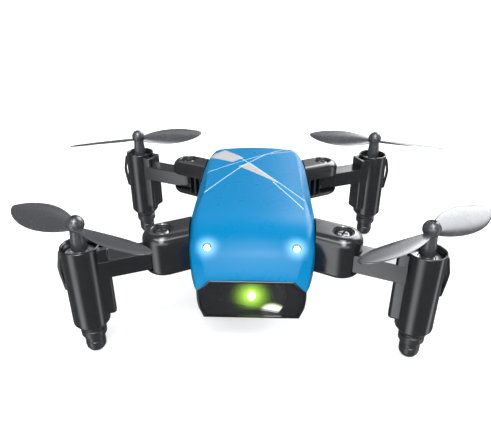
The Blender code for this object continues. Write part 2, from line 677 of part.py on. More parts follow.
def propeller_solid():
    """Two-bladed propeller: ball-topped hub, tapering to a neck, with its blades."""
    base_z, ball_r = POD_RIM - 0.7, 1.93
    hub = turned([(0.0, base_z), (1.85, base_z), (1.62, 31.0), (1.5, 32.4)]
                 + arc(0.0, HUB_Z, ball_r, -38.0, 80.0, 5) + [(0.0, HUB_Z + ball_r)], 16)
    prop = joined(hub, blade_solid(0.0), blade_solid(math.pi))
    return cut(prop, cylinder(0.65, base_z - 1.0, HUB_Z + ball_r + 1.0, 8))


def pivot_screw_solid():
    head_top, head_low, shank_r = 28.85, 27.9, 0.95
    screw = turned([(0.0, 19.7), (0.6, 19.7), (shank_r, 20.1), (shank_r, head_low),
                    (1.9, head_low), (1.9, head_top - 0.25), (1.6, head_top), (0.0, head_top)], 16)
    return cut(screw, *cross_recess(head_top, 1.2, 0.28, 0.55))


def make_corner(corner):
    """Arm with its motor, foot and lead on the fold axis, and the propeller on its own axis."""
    x_side, y_side, blades = CORNERS[corner]
    turn = heading(corner)
    fold = axis_empty("fold_axis_" + corner, x_side * PIVOT_X, y_side * PIVOT_Y, turn)
    spin = axis_empty("spin_axis_" + corner, ARM_LENGTH, 0.0, math.radians(blades) - turn, fold)

    def handed(bm):
        return bm if hand(corner) > 0 else mirrored_y(bm)

    def on_motor_axis(bm):
        return moved(bm, ARM_LENGTH)

    finish("pivot_screw_" + corner, pivot_screw_solid(), "screw_steel", fold)
    finish("arm_" + corner, handed(arm_solid()), "gunmetal_plastic", fold)
    finish("motor_can_" + corner, on_motor_axis(motor_can_solid()), "silver", fold)
    finish("motor_endcap_" + corner, on_motor_axis(motor_endcap_solid()), "soft_rubber", fold)
    finish("motor_lead_" + corner, handed(motor_lead_solid()), "red_wire", fold)
    finish("foot_" + corner, on_motor_axis(foot_solid()), "soft_rubber", fold)
    finish("rotor_shaft_" + corner, rotor_shaft_solid(), "screw_steel", spin)
    finish("propeller_" + corner, handed(propeller_solid()), "blade_plastic", spin)


def build_object():
    for item in list(bpy.data.objects):
        bpy.data.objects.remove(item)
    make_canopy()
    make_upper_frame()
    make_lower_frame()
    make_nose()
    make_headlights()
    make_electronics()
    make_switch()
    make_screws()
    for corner in CORNERS:
        make_corner(corner)
    bpy.context.view_layer.update()


build_object()
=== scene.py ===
"""Looks of the mini palm drone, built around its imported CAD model.

Lengths and places are in millimetres from the floor point under the middle of the four fold axes,
+Z up, nose along -Y. piece() moves them into the model's own frame and turns them into metres.
Left and right are as seen from the front.
"""

import json
import math

import bmesh
import bpy
from mathutils import Matrix, Vector


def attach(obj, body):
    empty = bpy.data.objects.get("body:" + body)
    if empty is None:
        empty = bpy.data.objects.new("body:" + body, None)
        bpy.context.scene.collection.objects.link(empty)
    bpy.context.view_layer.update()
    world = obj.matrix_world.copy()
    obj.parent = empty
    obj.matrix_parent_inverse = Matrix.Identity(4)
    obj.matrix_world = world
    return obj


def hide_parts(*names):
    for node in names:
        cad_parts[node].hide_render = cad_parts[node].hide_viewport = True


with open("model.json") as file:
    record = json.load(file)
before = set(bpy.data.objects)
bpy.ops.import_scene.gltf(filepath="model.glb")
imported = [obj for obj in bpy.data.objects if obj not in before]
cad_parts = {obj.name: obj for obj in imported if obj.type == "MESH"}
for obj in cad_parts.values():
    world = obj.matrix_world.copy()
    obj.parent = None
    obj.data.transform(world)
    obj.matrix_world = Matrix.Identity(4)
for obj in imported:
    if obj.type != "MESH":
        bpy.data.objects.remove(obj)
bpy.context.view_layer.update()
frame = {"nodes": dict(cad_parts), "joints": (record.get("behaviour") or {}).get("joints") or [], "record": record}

MM = 0.001
JOINTS = {joint["name"]: joint for joint in frame["joints"]}
WELD = 0.002                          # points closer than this are one point (mm)

# ---- sizes (mm) --------------------------------------------------------------------------------
BODY_FRONT, BODY_REAR = -31.3, 32.2
BODY_HALF_WIDTH = 15.1
BELLY_Z = 10.6
SEAM_Z = 17.5                         # lower edge of the canopy
LIP_Z = 21.5                          # canopy height at its front lip
CANOPY_TOP = 31.2
CANOPY_WALL = 0.9
LIP_ROUND = 0.2

PIVOT_X, PIVOT_Y = 20.65, 22.8
ARM_SWEEP = math.radians(23.0)
ARM_LENGTH = 18.3
SHOULDER_R = 4.7
SHOULDER_TWIST = math.radians(5.0)
SHOULDER_BOTTOM, SHOULDER_TOP = 18.8, 29.2
SLOT_BOTTOM, SLOT_TOP = 20.4, 25.5
ARM_BOTTOM, ARM_TOP = 20.7, 25.2
ARM_HALF_WIDTH = 2.9
ARM_EYE_R = 2.85

POD_R, POD_BORE_R = 4.25, 3.65
POD_BOTTOM, POD_FLOOR, POD_RIM = 8.0, 10.9, 28.8
FIN_REACH = 5.8
FIN_BOTTOM, FIN_TOP = 10.7, 28.0
CLIP_REACH = 5.6
MOTOR_R, MOTOR_TOP = 3.45, 27.2
PROP_R, PROP_CHORD = 20.9, 8.0
HUB_Z, HUB_BALL_R = 34.0, 1.95
FOOT_R, FOOT_TIP_R = 3.0, 2.36

LED_X, LED_Y, LED_Z = 10.0, -27.0, 27.1
LED_HOLE_R = 1.0
LAMP_Z = 15.3
SCREW_X, SCREW_Y = 9.0, 22.6
TRAY_FRONT, TRAY_REAR = BODY_FRONT + 3.0, BODY_REAR - 0.3

# corner name: x side, y side, resting direction of the propeller blades (degrees from +X)
CORNERS = {
    "front_left": (-1, -1, -29.0),
    "front_right": (1, -1, 36.0),
    "rear_left": (-1, 1, 21.5),
    "rear_right": (1, 1, -19.0),
}


def body_centre():
    """Middle of the four fold axes on the floor, in the model's frame, in mm."""
    places = [Vector(JOINTS["fold_" + corner]["pos_m"]) for corner in CORNERS]
    middle = sum(places, Vector()) / (len(places) * MM)
    return Vector((middle.x, middle.y, 0.0))


CENTRE = body_centre()


# ---- outlines: each is a function of how far it is inset -----------------------------------------
def capsule(x0, x1, radius, steps=14):
    """Two half circles about (x0, 0) and (x1, 0), joined by straight sides."""
    def outline(inset):
        points = []
        for centre, start in ((x1, -90.0), (x0, 90.0)):
            for i in range(steps + 1):
                angle = math.radians(start + 180.0 * i / steps)
                points.append((centre + (radius - inset) * math.cos(angle),
                               (radius - inset) * math.sin(angle)))
        return points
    return outline


def round_box(x0, x1, y0, y1, radius, steps=4):
    """Rectangle with round corners."""
    def outline(inset):
        arc = max(radius - inset, 0.05)
        low, high = inset + arc, -inset - arc
        points = []
        for x, y, start in ((x1 + high, y1 + high, 0.0), (x0 + low, y1 + high, 90.0),
                            (x0 + low, y0 + low, 180.0), (x1 + high, y0 + low, 270.0)):
            for i in range(steps + 1):
                angle = math.radians(start + 90.0 * i / steps)
                points.append((x + arc * math.cos(angle), y + arc * math.sin(angle)))
        return points
    return outline


def disc(radius, sides=48):
    def outline(inset):
        turn = 2.0 * math.pi / sides
        return [((radius - inset) * math.cos(turn * i), (radius - inset) * math.sin(turn * i))
                for i in range(sides)]
    return outline


# ---- solids ------------------------------------------------------------------------------------
def loft(rings):
    """Closed solid through rings that have the same number of points."""
    bm = bmesh.new()
    loops = [[bm.verts.new(point) for point in ring] for ring in rings]
    count = len(loops[0])
    for lower, upper in zip(loops, loops[1:]):
        for i in range(count):
            j = (i + 1) % count
            bm.faces.new((lower[i], lower[j], upper[j], upper[i]))
    bm.faces.new(list(reversed(loops[0])))
    bm.faces.new(loops[-1])
    bmesh.ops.recalc_face_normals(bm, faces=bm.faces)
    return bm


def slab(outline, low, high, low_round=0.0, high_round=0.0, steps=4):
    """Solid on an outline between two heights, with rounded lower and upper edges."""
    rings = []
    for radius, edge, way in ((low_round, low, 1.0), (high_round, high, -1.0)):
        part = []
        for i in range(steps + 1 if radius else 1):
            angle = math.radians(90.0 * i / steps)
            inset = radius * (1.0 - math.sin(angle))
            z = edge + way * radius * (1.0 - math.cos(angle))
            part.append([(x, y, z) for x, y in outline(inset)])
        rings += part if way > 0.0 else list(reversed(part))
    return loft(rings)


def box(x0, x1, y0, y1, z0, z1):
    return loft([[(x0, y0, z), (x1, y0, z), (x1, y1, z), (x0, y1, z)] for z in (z0, z1)])


def softened(points, steps=4):
    """A (radius, height) profile in which each point's third value rounds its corner."""
    soft = [points[0][:2]]
    for before, here, after in zip(points, points[1:], points[2:]):
        corner = Vector(here[:2])
        if len(here) < 3:
            soft.append(tuple(corner))
            continue
        back = (Vector(before[:2]) - corner).normalized()
        ahead = (Vector(after[:2]) - corner).normalized()
        half = 0.5 * back.angle(ahead)
        reach = here[2] / math.tan(half)
        centre = corner + (back + ahead).normalized() * here[2] / math.sin(half)
        start = corner + back * reach - centre
        stop = corner + ahead * reach - centre
        for i in range(steps + 1):
            arm = start.lerp(stop, i / steps).normalized() * here[2]
            soft.append(tuple(centre + arm))
    soft.append(points[-1][:2])
    return soft


def turned(profile, sides=48):
    """Solid of revolution about Z from (radius, z) pairs, first and last on the axis."""
    profile = softened(profile)
    bm = bmesh.new()
    ends = [bm.verts.new((0.0, 0.0, profile[0][1])), bm.verts.new((0.0, 0.0, profile[-1][1]))]
    turn = 2.0 * math.pi / sides
    rings = [[bm.verts.new((r * math.cos(turn * i), r * math.sin(turn * i), z))
              for i in range(sides)] for r, z in profile[1:-1]]
    for i in range(sides):
        j = (i + 1) % sides
        bm.faces.new((ends[0], rings[0][j], rings[0][i]))
        bm.faces.new((ends[1], rings[-1][i], rings[-1][j]))
        for lower, upper in zip(rings, rings[1:]):
            bm.faces.new((lower[i], lower[j], upper[j], upper[i]))
    bmesh.ops.recalc_face_normals(bm, faces=bm.faces)
    return bm


def moved(bm, x=0.0, y=0.0, z=0.0, turn=0.0):
    bm.transform(Matrix.Translation((x, y, z)) @ Matrix.Rotation(turn, 4, "Z"))
    return bm


def flipped(bm, x=1.0, y=-1.0):
    """Mirror image in the axis given as -1: Y unless told otherwise."""
    bm.transform(Matrix.Diagonal((x, y, 1.0, 1.0)))
    bmesh.ops.reverse_faces(bm, faces=bm.faces)
    return bm


def temporary(bm):
    """Object that holds the solid while a boolean works on it. The solid is used up."""
    bmesh.ops.triangulate(bm, faces=bm.faces)
    mesh = bpy.data.meshes.new("tool")
    bm.to_mesh(mesh)
    bm.free()
    tool = bpy.data.objects.new("tool", mesh)
    bpy.context.scene.collection.objects.link(tool)
    return tool


def combined(base, tools, operation, merge):
    """Boolean of a solid with others, which are all used up. merge joins its flat neighbours."""
    work = temporary(base)
    for tool_bm in tools:
        tool = temporary(tool_bm)
        change = work.modifiers.new("combine", "BOOLEAN")
        change.operation = operation
        change.object = tool
        evaluated = work.evaluated_get(bpy.context.evaluated_depsgraph_get())
        bm = bmesh.new()
        bm.from_mesh(evaluated.to_mesh())
        bmesh.ops.remove_doubles(bm, verts=bm.verts, dist=WELD)
        bmesh.ops.dissolve_degenerate(bm, edges=bm.edges, dist=WELD)
        bpy.data.objects.remove(tool)
        bpy.data.objects.remove(work)
        work = temporary(bm)
    bm = bmesh.new()
    bm.from_mesh(work.data)
    bpy.data.objects.remove(work)
    if merge:
        bmesh.ops.dissolve_limit(bm, angle_limit=math.radians(0.1), verts=bm.verts,
                                 edges=bm.edges)
    return bm


def joined(base, *tools, merge=True):
    return combined(base, tools, "UNION", merge)


def cut(base, *tools, merge=True):
    return combined(base, tools, "DIFFERENCE", merge)


def placed_at(x, y, turn=0.0):
    return Matrix.Translation((x, y, 0.0)) @ Matrix.Rotation(turn, 4, "Z")


def piece(name, bm, material, body, stands_for=(), place=None, sharp=32.0):
    """The finished piece: in metres, in the model's frame, riding on its body."""
    to_frame = Matrix.Scale(MM, 4) @ Matrix.Translation(CENTRE)
    bm.transform(to_frame @ (place or Matrix.Identity(4)))
    mesh = bpy.data.meshes.new(name)
    bm.to_mesh(mesh)
    bm.free()
    mesh.shade_smooth()
    mesh.set_sharp_from_angle(angle=math.radians(sharp))
    mesh.materials.append(material)
    item = bpy.data.objects.new(name, mesh)
    bpy.context.scene.collection.objects.link(item)
    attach(item, body)
    if stands_for:
        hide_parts(*stands_for)
    return item


# ---- materials ---------------------------------------------------------------------------------
class Graph:
    """Short ways to add nodes to a tree and link them. place is the tree's coordinate output."""

    def __init__(self, tree, coordinate):
        self.tree = tree
        self.place = self.add("ShaderNodeTexCoord").outputs[coordinate]

    def add(self, kind, **settings):
        node = self.tree.nodes.new(kind)
        for key, value in settings.items():
            setattr(node, key, value)
        return node

    def feed(self, socket, value):
        if isinstance(value, bpy.types.NodeSocket):
            self.tree.links.new(value, socket)
        else:
            socket.default_value = value

    def math(self, operation, a, b=0.0):
        node = self.add("ShaderNodeMath", operation=operation)
        self.feed(node.inputs[0], a)
        self.feed(node.inputs[1], b)
        return node.outputs[0]

    def vector(self, operation, a, b):
        node = self.add("ShaderNodeVectorMath", operation=operation)
        self.feed(node.inputs[0], a)
        self.feed(node.inputs[1], b)
        return node.outputs["Value" if operation in ("DOT_PRODUCT", "LENGTH") else "Vector"]

    def spread(self, value, low, high, to_low, to_high, smooth=False):
        node = self.add("ShaderNodeMapRange")
        node.interpolation_type = "SMOOTHSTEP" if smooth else "LINEAR"
        for socket, entry in zip(node.inputs[:5], (value, low, high, to_low, to_high)):
            self.feed(socket, entry)
        return node.outputs[0]

    def mix(self, share, a, b):
        node = self.add("ShaderNodeMix", data_type="RGBA")
        self.feed(node.inputs["Factor"], share)
        self.feed(node.inputs[6], a)
        self.feed(node.inputs[7], b)
        return node.outputs[2]

    def noise(self, size_mm, detail=3.0, stretch=None):
        node = self.add("ShaderNodeTexNoise")
        node.inputs["Scale"].default_value = 1.0 / (size_mm * MM)
        node.inputs["Detail"].default_value = detail
        source = self.vector("MULTIPLY", self.place, stretch) if stretch else self.place
        self.feed(node.inputs["Vector"], source)
        return node.outputs["Fac"]


class Surface(Graph):
    """A new material's graph, in the model's own coordinates."""

    def __init__(self, name):
        self.material = bpy.data.materials.new(name)
        self.material.use_nodes = True
        super().__init__(self.material.node_tree, "Object")
        self.shader = self.tree.nodes["Principled BSDF"]

    def bump(self, height, depth_mm):
        node = self.add("ShaderNodeBump")
        node.inputs["Distance"].default_value = depth_mm * MM
        self.feed(node.inputs["Height"], height)
        self.feed(self.shader.inputs["Normal"], node.outputs[0])

    def glow_only(self):
        """This surface's glow is seen, but the render doesn't treat it as one of its lights."""
        self.material.cycles.emission_sampling = "NONE"

    def set(self, **values):
        for key, value in values.items():
            self.feed(self.shader.inputs[key.replace("_", " ")], value)


def grey(value, alpha=1.0):
    return (value, value, value, alpha)


def plastic(name, colour, roughness, grain_mm=2.5, grain_depth=0.004, spread=0.04, mottle=0.12):
    """Moulded plastic: fine grain, slow colour change and uneven gloss."""
    nodes = Surface(name)
    slow = nodes.noise(9.0)
    fine = nodes.noise(grain_mm, 2.0)
    low = (*[c * (1.0 - mottle) for c in colour], 1.0)
    high = (*[c * (1.0 + mottle) for c in colour], 1.0)
    nodes.set(Base_Color=nodes.mix(slow, low, high),
              Roughness=nodes.spread(nodes.noise(3.0), 0.3, 0.7, roughness - spread,
                                     roughness + spread))
    nodes.bump(fine, grain_depth)
    return nodes


def metal(name, colour, roughness, stretch=None, depth=0.004):
    nodes = Surface(name)
    streaks = nodes.noise(0.25, 3.0, stretch)
    tint = nodes.mix(streaks, (*[c * 0.86 for c in colour], 1.0), (*colour, 1.0))
    nodes.set(Base_Color=tint, Metallic=1.0,
              Roughness=nodes.spread(streaks, 0.3, 0.7, roughness - 0.07, roughness + 0.1))
    nodes.bump(streaks, depth)
    return nodes.material


def strip_mask(nodes, start, stop, width_start, width_stop):
    """1 inside a straight tapering strip on the canopy, drawn in plan (mm)."""
    start, stop = Vector((*start, 0.0)) + CENTRE, Vector((*stop, 0.0)) + CENTRE
    run = (stop - start).length
    along_way = (stop - start).normalized()
    across_way = Vector((-along_way.y, along_way.x, 0.0))
    offset = nodes.vector("SUBTRACT", nodes.place, tuple(start * MM))
    along = nodes.math("DIVIDE", nodes.vector("DOT_PRODUCT", offset, tuple(along_way)), run * MM)
    across = nodes.math("ABSOLUTE", nodes.vector("DOT_PRODUCT", offset, tuple(across_way)))
    half = nodes.spread(along, 0.0, 1.0, 0.5 * width_start * MM, 0.5 * width_stop * MM)
    inside = nodes.math("LESS_THAN", across, half)
    middle = nodes.math("ABSOLUTE", nodes.math("SUBTRACT", along, 0.5))
    return nodes.math("MULTIPLY", inside, nodes.math("LESS_THAN", middle, 0.5))


def canopy_material():
    """Glossy sky blue with grey bands and fine white lines printed on its back; painted headlight light glows on
    the shell round each headlight.
    """
    nodes = Surface("canopy_blue")
    blue = nodes.mix(nodes.noise(14.0), (0.0, 0.122, 0.268, 1.0), (0.0, 0.132, 0.288, 1.0))
    height = nodes.add("ShaderNodeSeparateXYZ")
    nodes.feed(height.inputs[0], nodes.place)
    upper = nodes.math("GREATER_THAN", height.outputs["Z"], 26.5 * MM)
    bands = [strip_mask(nodes, (-12.0, 24.0), (-5.0, 17.3), 7.2, 4.6),
             strip_mask(nodes, (-3.0, 13.4), (6.4, 0.4), 4.2, 0.3)]
    lines = [((-13.5, 8.4), (3.3, 22.0), 0.18), ((3.3, 22.0), (9.4, 28.2), 0.18),
             ((-12.8, -5.4), (-3.6, 12.2), 0.22), ((-3.6, 12.2), (3.3, 22.0), 0.22),
             ((3.3, 22.0), (12.2, 26.8), 0.18),
             ((-5.0, 20.0), (12.8, -9.8), 0.18), ((5.0, 1.0), (12.2, -14.4), 0.18)]
    colour = blue
    for band in bands:
        colour = nodes.mix(nodes.math("MULTIPLY", band, upper), colour, (0.31, 0.3, 0.305, 1.0))
    for start, stop, width in lines:
        line = strip_mask(nodes, start, stop, width, width)
        colour = nodes.mix(nodes.math("MULTIPLY", line, upper), colour, (0.45, 0.58, 0.68, 1.0))
    # painted light: a glow of headlight light painted onto the shell round each headlight, as emission that fades
    # with distance
    glow = 0.0
    for side in (-1, 1):
        lamp = (Vector((side * LED_X, LED_Y, LED_Z)) + CENTRE) * MM
        away = nodes.vector("LENGTH", nodes.vector("SUBTRACT", nodes.place, tuple(lamp)), (0.0,) * 3)
        painted_lamp_spill = nodes.spread(away, 0.5 * MM, 4.6 * MM, 1.0, 0.0, smooth=True)
        glow = nodes.math("ADD", nodes.math("POWER", painted_lamp_spill, 2.5), glow)
    nodes.set(Base_Color=colour, Roughness=nodes.spread(nodes.noise(4.0), 0.3, 0.7, 0.26, 0.32),
              Specular_IOR_Level=0.13, Emission_Color=(0.45, 0.8, 1.0, 1.0),
              Emission_Strength=nodes.math("MULTIPLY", glow, 0.8))
    nodes.bump(nodes.noise(5.0, 1.0), 0.004)
    nodes.glow_only()
    return nodes.material


def gunmetal_material():
    nodes = plastic("gunmetal_plastic", (0.007, 0.0073, 0.0085), 0.2)
    nodes.set(Specular_IOR_Level=0.8)
    return nodes.material


def blade_material():
    nodes = plastic("blade_plastic", (0.032, 0.033, 0.036), 0.26)
    nodes.set(Specular_IOR_Level=0.75)
    return nodes.material


def lens_material():
    """Smoked clear plastic, dark but see-through near the lamp."""
    nodes = plastic("smoked_lens", (0.016, 0.016, 0.018), 0.09, spread=0.02)
    nodes.set(Alpha=0.6)
    return nodes.material


def bowl_material():
    """Bright plated bowl with painted light: a green glow of lamp light painted round its lamp, and a white
    highlight painted low on its right.
    """
    nodes = Surface("reflector_silver")
    lamp = (Vector((0.0, TRAY_FRONT - 0.3, LAMP_Z)) + CENTRE) * MM
    away = nodes.vector("LENGTH", nodes.vector("SUBTRACT", nodes.place, tuple(lamp)), (0.0,) * 3)
    # painted light: green lamp light painted onto the bowl round the lamp, as emission
    painted_lamp_spill = nodes.math("POWER", nodes.spread(away, 0.8 * MM, 6.0 * MM, 1.0, 0.0), 2.5)
    # painted highlight: a soft white patch painted low on the bowl's right, as emission
    white_patch_centre = (Vector((5.4, TRAY_FRONT - 0.3, LAMP_Z - 3.8)) + CENTRE) * MM
    offset_from_patch = nodes.vector("SUBTRACT", nodes.place, tuple(white_patch_centre))
    flat = nodes.vector("MULTIPLY", offset_from_patch, (1.0, 0.0, 1.5))
    painted_highlight = nodes.spread(nodes.vector("LENGTH", flat, (0.0,) * 3), 2.2 * MM, 3.8 * MM, 1.0, 0.0,
                          smooth=True)
    nodes.set(Base_Color=nodes.mix(nodes.noise(2.0), grey(0.22), grey(0.3)), Metallic=1.0,
              Roughness=nodes.spread(nodes.noise(0.8), 0.3, 0.7, 0.2, 0.3),
              Emission_Color=nodes.mix(painted_highlight, (0.5, 1.0, 0.06, 1.0), grey(1.0)),
              Emission_Strength=nodes.math("ADD", nodes.math("MULTIPLY", painted_lamp_spill, 9.0),
                                           nodes.math("MULTIPLY", painted_highlight, 7.0)))
    nodes.bump(nodes.noise(0.5), 0.004)
    nodes.glow_only()
    return nodes.material


def lamp_material(name, colour, glow, strength):
    """Clear lamp that glows from its middle."""
    nodes = Surface(name)
    nodes.set(Base_Color=nodes.mix(nodes.noise(1.0), (*colour, 1.0), grey(0.95)), Roughness=0.12,
              Emission_Color=(*glow, 1.0), Emission_Strength=strength)
    return nodes.material


def foil_material():
    nodes = Surface("battery_foil")
    wrinkles = nodes.noise(2.5, 5.0, (1.0, 0.4, 1.0))
    nodes.set(Base_Color=nodes.mix(wrinkles, grey(0.5), grey(0.66)), Metallic=0.7,
              Roughness=nodes.spread(wrinkles, 0.3, 0.7, 0.28, 0.45))
    nodes.bump(wrinkles, 0.12)
    return nodes.material


def board_material():
    """Green solder mask with a fine copper pattern under it."""
    nodes = Surface("board_green")
    cells = nodes.add("ShaderNodeTexVoronoi", feature="DISTANCE_TO_EDGE")
    cells_per_metre = 700.0
    cells.inputs["Scale"].default_value = cells_per_metre
    nodes.feed(cells.inputs["Vector"], nodes.place)
    tracks = nodes.math("LESS_THAN", cells.outputs["Distance"], 0.08)
    nodes.set(Base_Color=nodes.mix(tracks, (0.01, 0.12, 0.05, 1.0), (0.03, 0.22, 0.09, 1.0)),
              Roughness=0.42)
    nodes.bump(tracks, 0.02)
    return nodes.material


MATERIALS = {
    "canopy_blue": canopy_material(),
    "gunmetal_plastic": gunmetal_material(),
    "blade_plastic": blade_material(),
    "smoked_lens": lens_material(),
    "reflector_silver": bowl_material(),
    "green_led": lamp_material("green_led", (0.6, 1.0, 0.4), (0.75, 1.0, 0.4), 14.0),
    "white_led": lamp_material("white_led", (0.9, 0.95, 1.0), (0.85, 0.93, 1.0), 9.0),
    "board_green": board_material(),
    "battery_foil": foil_material(),
    "lead_insulation": plastic("lead_insulation", (0.5, 0.02, 0.02), 0.45).material,
    "aerial_insulation": plastic("aerial_insulation", (0.02, 0.02, 0.02), 0.5).material,
    "port_steel": metal("port_steel", (0.62, 0.62, 0.63), 0.3),
    "switch_black": plastic("switch_black", (0.018, 0.018, 0.02), 0.5, grain_depth=0.015).material,
    "screw_steel": metal("screw_steel", (0.2, 0.2, 0.21), 0.3),
    "motor_steel": metal("motor_steel", (0.5, 0.5, 0.52), 0.34, (1.0, 1.0, 0.1), 0.0005),
    "motor_cap": plastic("motor_cap", (0.015, 0.015, 0.016), 0.5).material,
    "foot_rubber": plastic("foot_rubber", (0.016, 0.016, 0.018), 0.3, grain_depth=0.01).material,
}


# ---- canopy ------------------------------------------------------------------------------------
def body_half_width(y):
    """Half width of the body in plan: full amidships, narrowing to the nose and the tail."""
    front_taper, rear_start, rear_reach, tail_half_width = 2.8, 14.0, 18.5, 10.6
    if y < 0.0:
        return BODY_HALF_WIDTH - front_taper * (y / BODY_FRONT) ** 6
    if y < rear_start:
        return BODY_HALF_WIDTH
    fall = (y - rear_start) / rear_reach
    fullness = math.sqrt(1.0 - fall ** 2.4)
    return tail_half_width + (BODY_HALF_WIDTH - tail_half_width) * fullness


def body_outline(front, rear, stations=40):
    spots = [front + (rear - front) * 0.5 * (1.0 - math.cos(math.pi * i / (stations - 1)))
             for i in range(stations)]

    def outline(inset):
        right = [(body_half_width(y) - inset, y + inset * (0.5 - i / (stations - 1)) * 2.0)
                 for i, y in enumerate(spots)]
        return right + [(-x, y) for x, y in reversed(right)]
    return outline


def canopy_height(y):
    """Height of the canopy's ridge: a blunt round nose, a level back and a rounded tail."""
    nose_start, nose_reach, onset = -8.0, 23.8, 3.2
    tail_start, tail_reach, tail_drop = 27.0, 5.6, 4.6

    def fall(place):
        return 1.0 - math.sqrt(1.0 - ((nose_start - place) / nose_reach) ** onset)

    if y < nose_start:
        return CANOPY_TOP - (CANOPY_TOP - LIP_Z) * fall(y) / fall(BODY_FRONT)
    if y < tail_start:
        return CANOPY_TOP
    return CANOPY_TOP - tail_drop * (1.0 - math.sqrt(1.0 - ((y - tail_start) / tail_reach) ** 2))


def facet_spread(y):
    """How much of the canopy's round corner is a flat facet, from 0 to 1, along its length."""
    knots = ((BODY_FRONT, 0.95), (-24.0, 0.12), (-20.5, 0.12), (-5.0, 0.95), (10.0, 0.55),
             (24.0, 0.15), (BODY_REAR, 0.05))
    for (y0, share0), (y1, share1) in zip(knots, knots[1:]):
        if y <= y1:
            return share0 + (share1 - share0) * max(0.0, y - y0) / (y1 - y0)
    return knots[-1][1]


def nose_share(y):
    """0 behind the nose and 1 at its front edge, with a smooth start."""
    start = -23.0
    share = max(0.0, (start - y) / (start - BODY_FRONT))
    return share * share


def canopy_section(y, inset):
    """Half arch at one station: ridge, round corner with its facet, flared wall and foot."""
    nose = nose_share(y)
    crown, corner_x, corner_z = 0.6 - 0.35 * nose, 2.7, 2.9
    flare, tuck, foot_z = 0.12 * (1.0 - nose), 0.5 * (1.0 - nose), SEAM_Z + 0.9 * nose
    half = body_half_width(y) - inset
    top = canopy_height(y) - inset
    start_x, start_z = half - flare - corner_x, top - crown
    points = [(start_x * i / 8, top - crown * (i / 8) ** 2) for i in range(8)]
    first = 45.0 - 40.0 * facet_spread(y)
    last = 90.0 - first

    def on_arc(degrees):
        angle = math.radians(degrees)
        return Vector((start_x + corner_x * math.sin(angle),
                       start_z - corner_z * (1.0 - math.cos(angle))))

    corner = [on_arc(first * i / 5) for i in range(6)]
    corner += [on_arc(first).lerp(on_arc(last), i / 4) for i in (1, 2, 3)]
    corner += [on_arc(last + (90.0 - last) * i / 5) for i in range(6)]
    points += [(x, max(z, foot_z + 0.1)) for x, z in corner]
    wall_x, wall_z = points[-1]
    widest_z = min(22.0, 0.5 * (wall_z + foot_z))
    for i in (1, 2, 3):
        share = math.sin(math.radians(30.0 * i))
        points.append((wall_x + flare * share, wall_z + (widest_z - wall_z) * i / 3))
    for i in (1, 2):
        points.append((half - tuck * (i / 2) ** 2, widest_z + (foot_z - widest_z) * i / 2))
    return points


def canopy_ring(y, inset):
    right = canopy_section(y, inset)
    return [(-x, y, z) for x, z in reversed(right[1:])] + [(x, y, z) for x, z in right]


def canopy_solid():
    """Open shell: an outer and an inner skin, joined round the mouth, along the feet and behind."""
    bm = bmesh.new()
    stations = 64
    outer = [(BODY_FRONT + LIP_ROUND * (1.0 - math.cos(math.radians(15.0 * i))),
              LIP_ROUND * (1.0 - math.sin(math.radians(15.0 * i)))) for i in range(6)]
    start = BODY_FRONT + LIP_ROUND
    for i in range(stations):
        share = 0.5 * (1.0 - math.cos(math.pi * i / (stations - 1)))
        outer.append((start + (BODY_REAR - start) * share, 0.0))
    thin_wall, thin_reach = 0.35, 3.4
    thick_start = BODY_FRONT + thin_reach + 0.1
    thick_reach = BODY_REAR - CANOPY_WALL - thick_start
    inner = [(BODY_FRONT + thin_reach * i / 8, thin_wall) for i in range(9)]
    inner += [(thick_start + thick_reach * i / 24, CANOPY_WALL) for i in range(25)]
    skins = [[[bm.verts.new(point) for point in canopy_ring(y, inset)] for y, inset in rows]
             for rows in (outer, inner)]
    for rows in skins:
        for row, after in zip(rows, rows[1:]):
            for a, b, c, d in zip(row, row[1:], after[1:], after):
                bm.faces.new((a, b, c, d))
        bm.faces.new(rows[-1])
    outside, inside = skins
    for a, b, c, d in zip(outside[0], outside[0][1:], inside[0][1:], inside[0]):
        bm.faces.new((a, b, c, d))
    for end in (0, -1):
        rim = [row[end] for row in outside] + [row[end] for row in reversed(inside)]
        bm.faces.new(rim)
    bm.faces.new((outside[-1][0], outside[-1][-1], inside[-1][-1], inside[-1][0]))
    bmesh.ops.remove_doubles(bm, verts=bm.verts, dist=0.0001)
    bmesh.ops.recalc_face_normals(bm, faces=bm.faces)
    return bm


def led_place(side):
    """A headlight's place: on the canopy's front slope, its axis square to the surface."""
    step = 0.5
    rise = canopy_height(LED_Y + step) - canopy_height(LED_Y - step)
    slope = math.atan(rise / (2.0 * step))
    return Matrix.Translation((side * LED_X, LED_Y, LED_Z)) @ Matrix.Rotation(slope, 4, "X")


def make_canopy():
    """Canopy with a hole for each headlight."""
    eyes = []
    for side in (-1, 1):
        eyes.append(slab(disc(LED_HOLE_R, 40), -3.0, 3.0))
        eyes[-1].transform(led_place(side))
    solid = cut(canopy_solid(), *eyes, merge=False)
    piece("canopy_shell", solid, MATERIALS["canopy_blue"], "airframe", ["canopy"],
          sharp=13.0)


# ---- shoulders and frame -------------------------------------------------------------------------
def heading(corner):
    """Direction in which the arm points away from its fold axis."""
    x_side, y_side, _ = CORNERS[corner]
    return math.atan2(y_side * math.sin(ARM_SWEEP), x_side * math.cos(ARM_SWEEP))


def hand(corner):
    """+1 where the arm folds anticlockwise seen from above, -1 where it folds clockwise."""
    x_side, y_side, _ = CORNERS[corner]
    return -x_side * y_side


def pivot_place(corner):
    x_side, y_side, _ = CORNERS[corner]
    return placed_at(x_side * PIVOT_X, y_side * PIVOT_Y, heading(corner))


def at_corner(bm, corner):
    """Move a solid made about the fold axis to its corner, mirrored where the arm's hand asks."""
    if hand(corner) < 0:
        flipped(bm)
    bm.transform(pivot_place(corner))
    return bm


